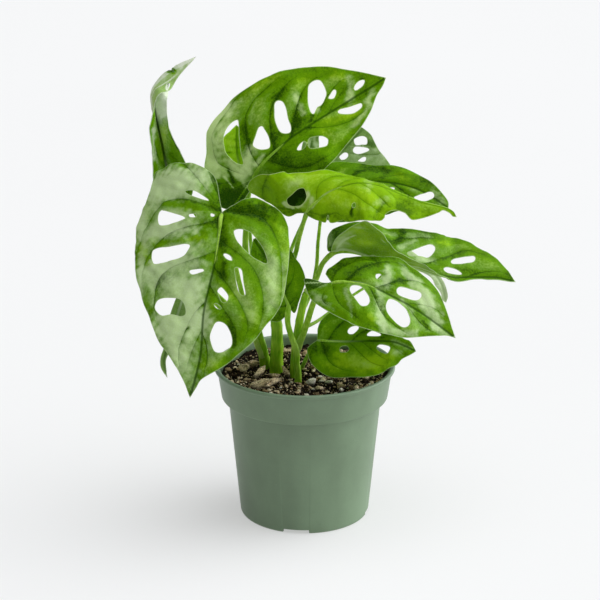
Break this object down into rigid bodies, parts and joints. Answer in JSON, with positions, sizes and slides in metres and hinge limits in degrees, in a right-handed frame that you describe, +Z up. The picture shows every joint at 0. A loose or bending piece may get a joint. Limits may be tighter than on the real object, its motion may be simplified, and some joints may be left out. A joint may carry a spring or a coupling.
{
  "type": "potted monstera",
  "caption": "Small potted monstera with pierced leaves on green stems, in a round tapered green nursery pot filled with peat soil.",
  "frame": {"origin": "on the pot's axis, on the surface that the pot stands on, just under the centre of the pot's raised floor", "axes": "+Z up along the pot's axis, -Y towards the front of the plant, +X to the front's right"},
  "size_m": [0.2229, 0.1245, 0.2746],
  "materials": {
    "pot_plastic": "matte sage green moulded plastic",
    "soil_peat": "dark damp peat mix with bark chips",
    "stem_green": "smooth green stem",
    "leaf_front_left": "glossy living leaf",
    "leaf_top": "glossy living leaf",
    "leaf_left_curled": "glossy living leaf",
    "leaf_back_right": "glossy living leaf",
    "leaf_middle_bright": "glossy living leaf",
    "leaf_middle_dark": "glossy living leaf",
    "leaf_right_long": "glossy living leaf",
    "leaf_right_low": "glossy living leaf",
    "leaf_right_lowest": "glossy living leaf",
    "leaf_far_right": "glossy living leaf",
    "leaf_centre_small": "glossy living leaf",
    "leaf_inner_back": "glossy living leaf",
    "leaf_left_hidden": "glossy living leaf"
  },
  "bodies": {
    "root": {"pot": "pot_plastic", "soil": "soil_peat", "stem_left": "stem_green", "stem_middle": "stem_green", "stem_right": "stem_green", "leaf_front_left": "leaf_front_left", "leaf_top": "leaf_top", "leaf_left_curled": "leaf_left_curled", "leaf_back_right": "leaf_back_right", "leaf_middle_bright": "leaf_middle_bright", "leaf_middle_dark": "leaf_middle_dark", "leaf_right_long": "leaf_right_long", "leaf_right_low": "leaf_right_low", "leaf_right_lowest": "leaf_right_lowest", "leaf_far_right": "leaf_far_right", "leaf_centre_small": "leaf_centre_small", "leaf_inner_back": "leaf_inner_back", "leaf_left_hidden": "leaf_left_hidden"}
  },
  "joints": []
}
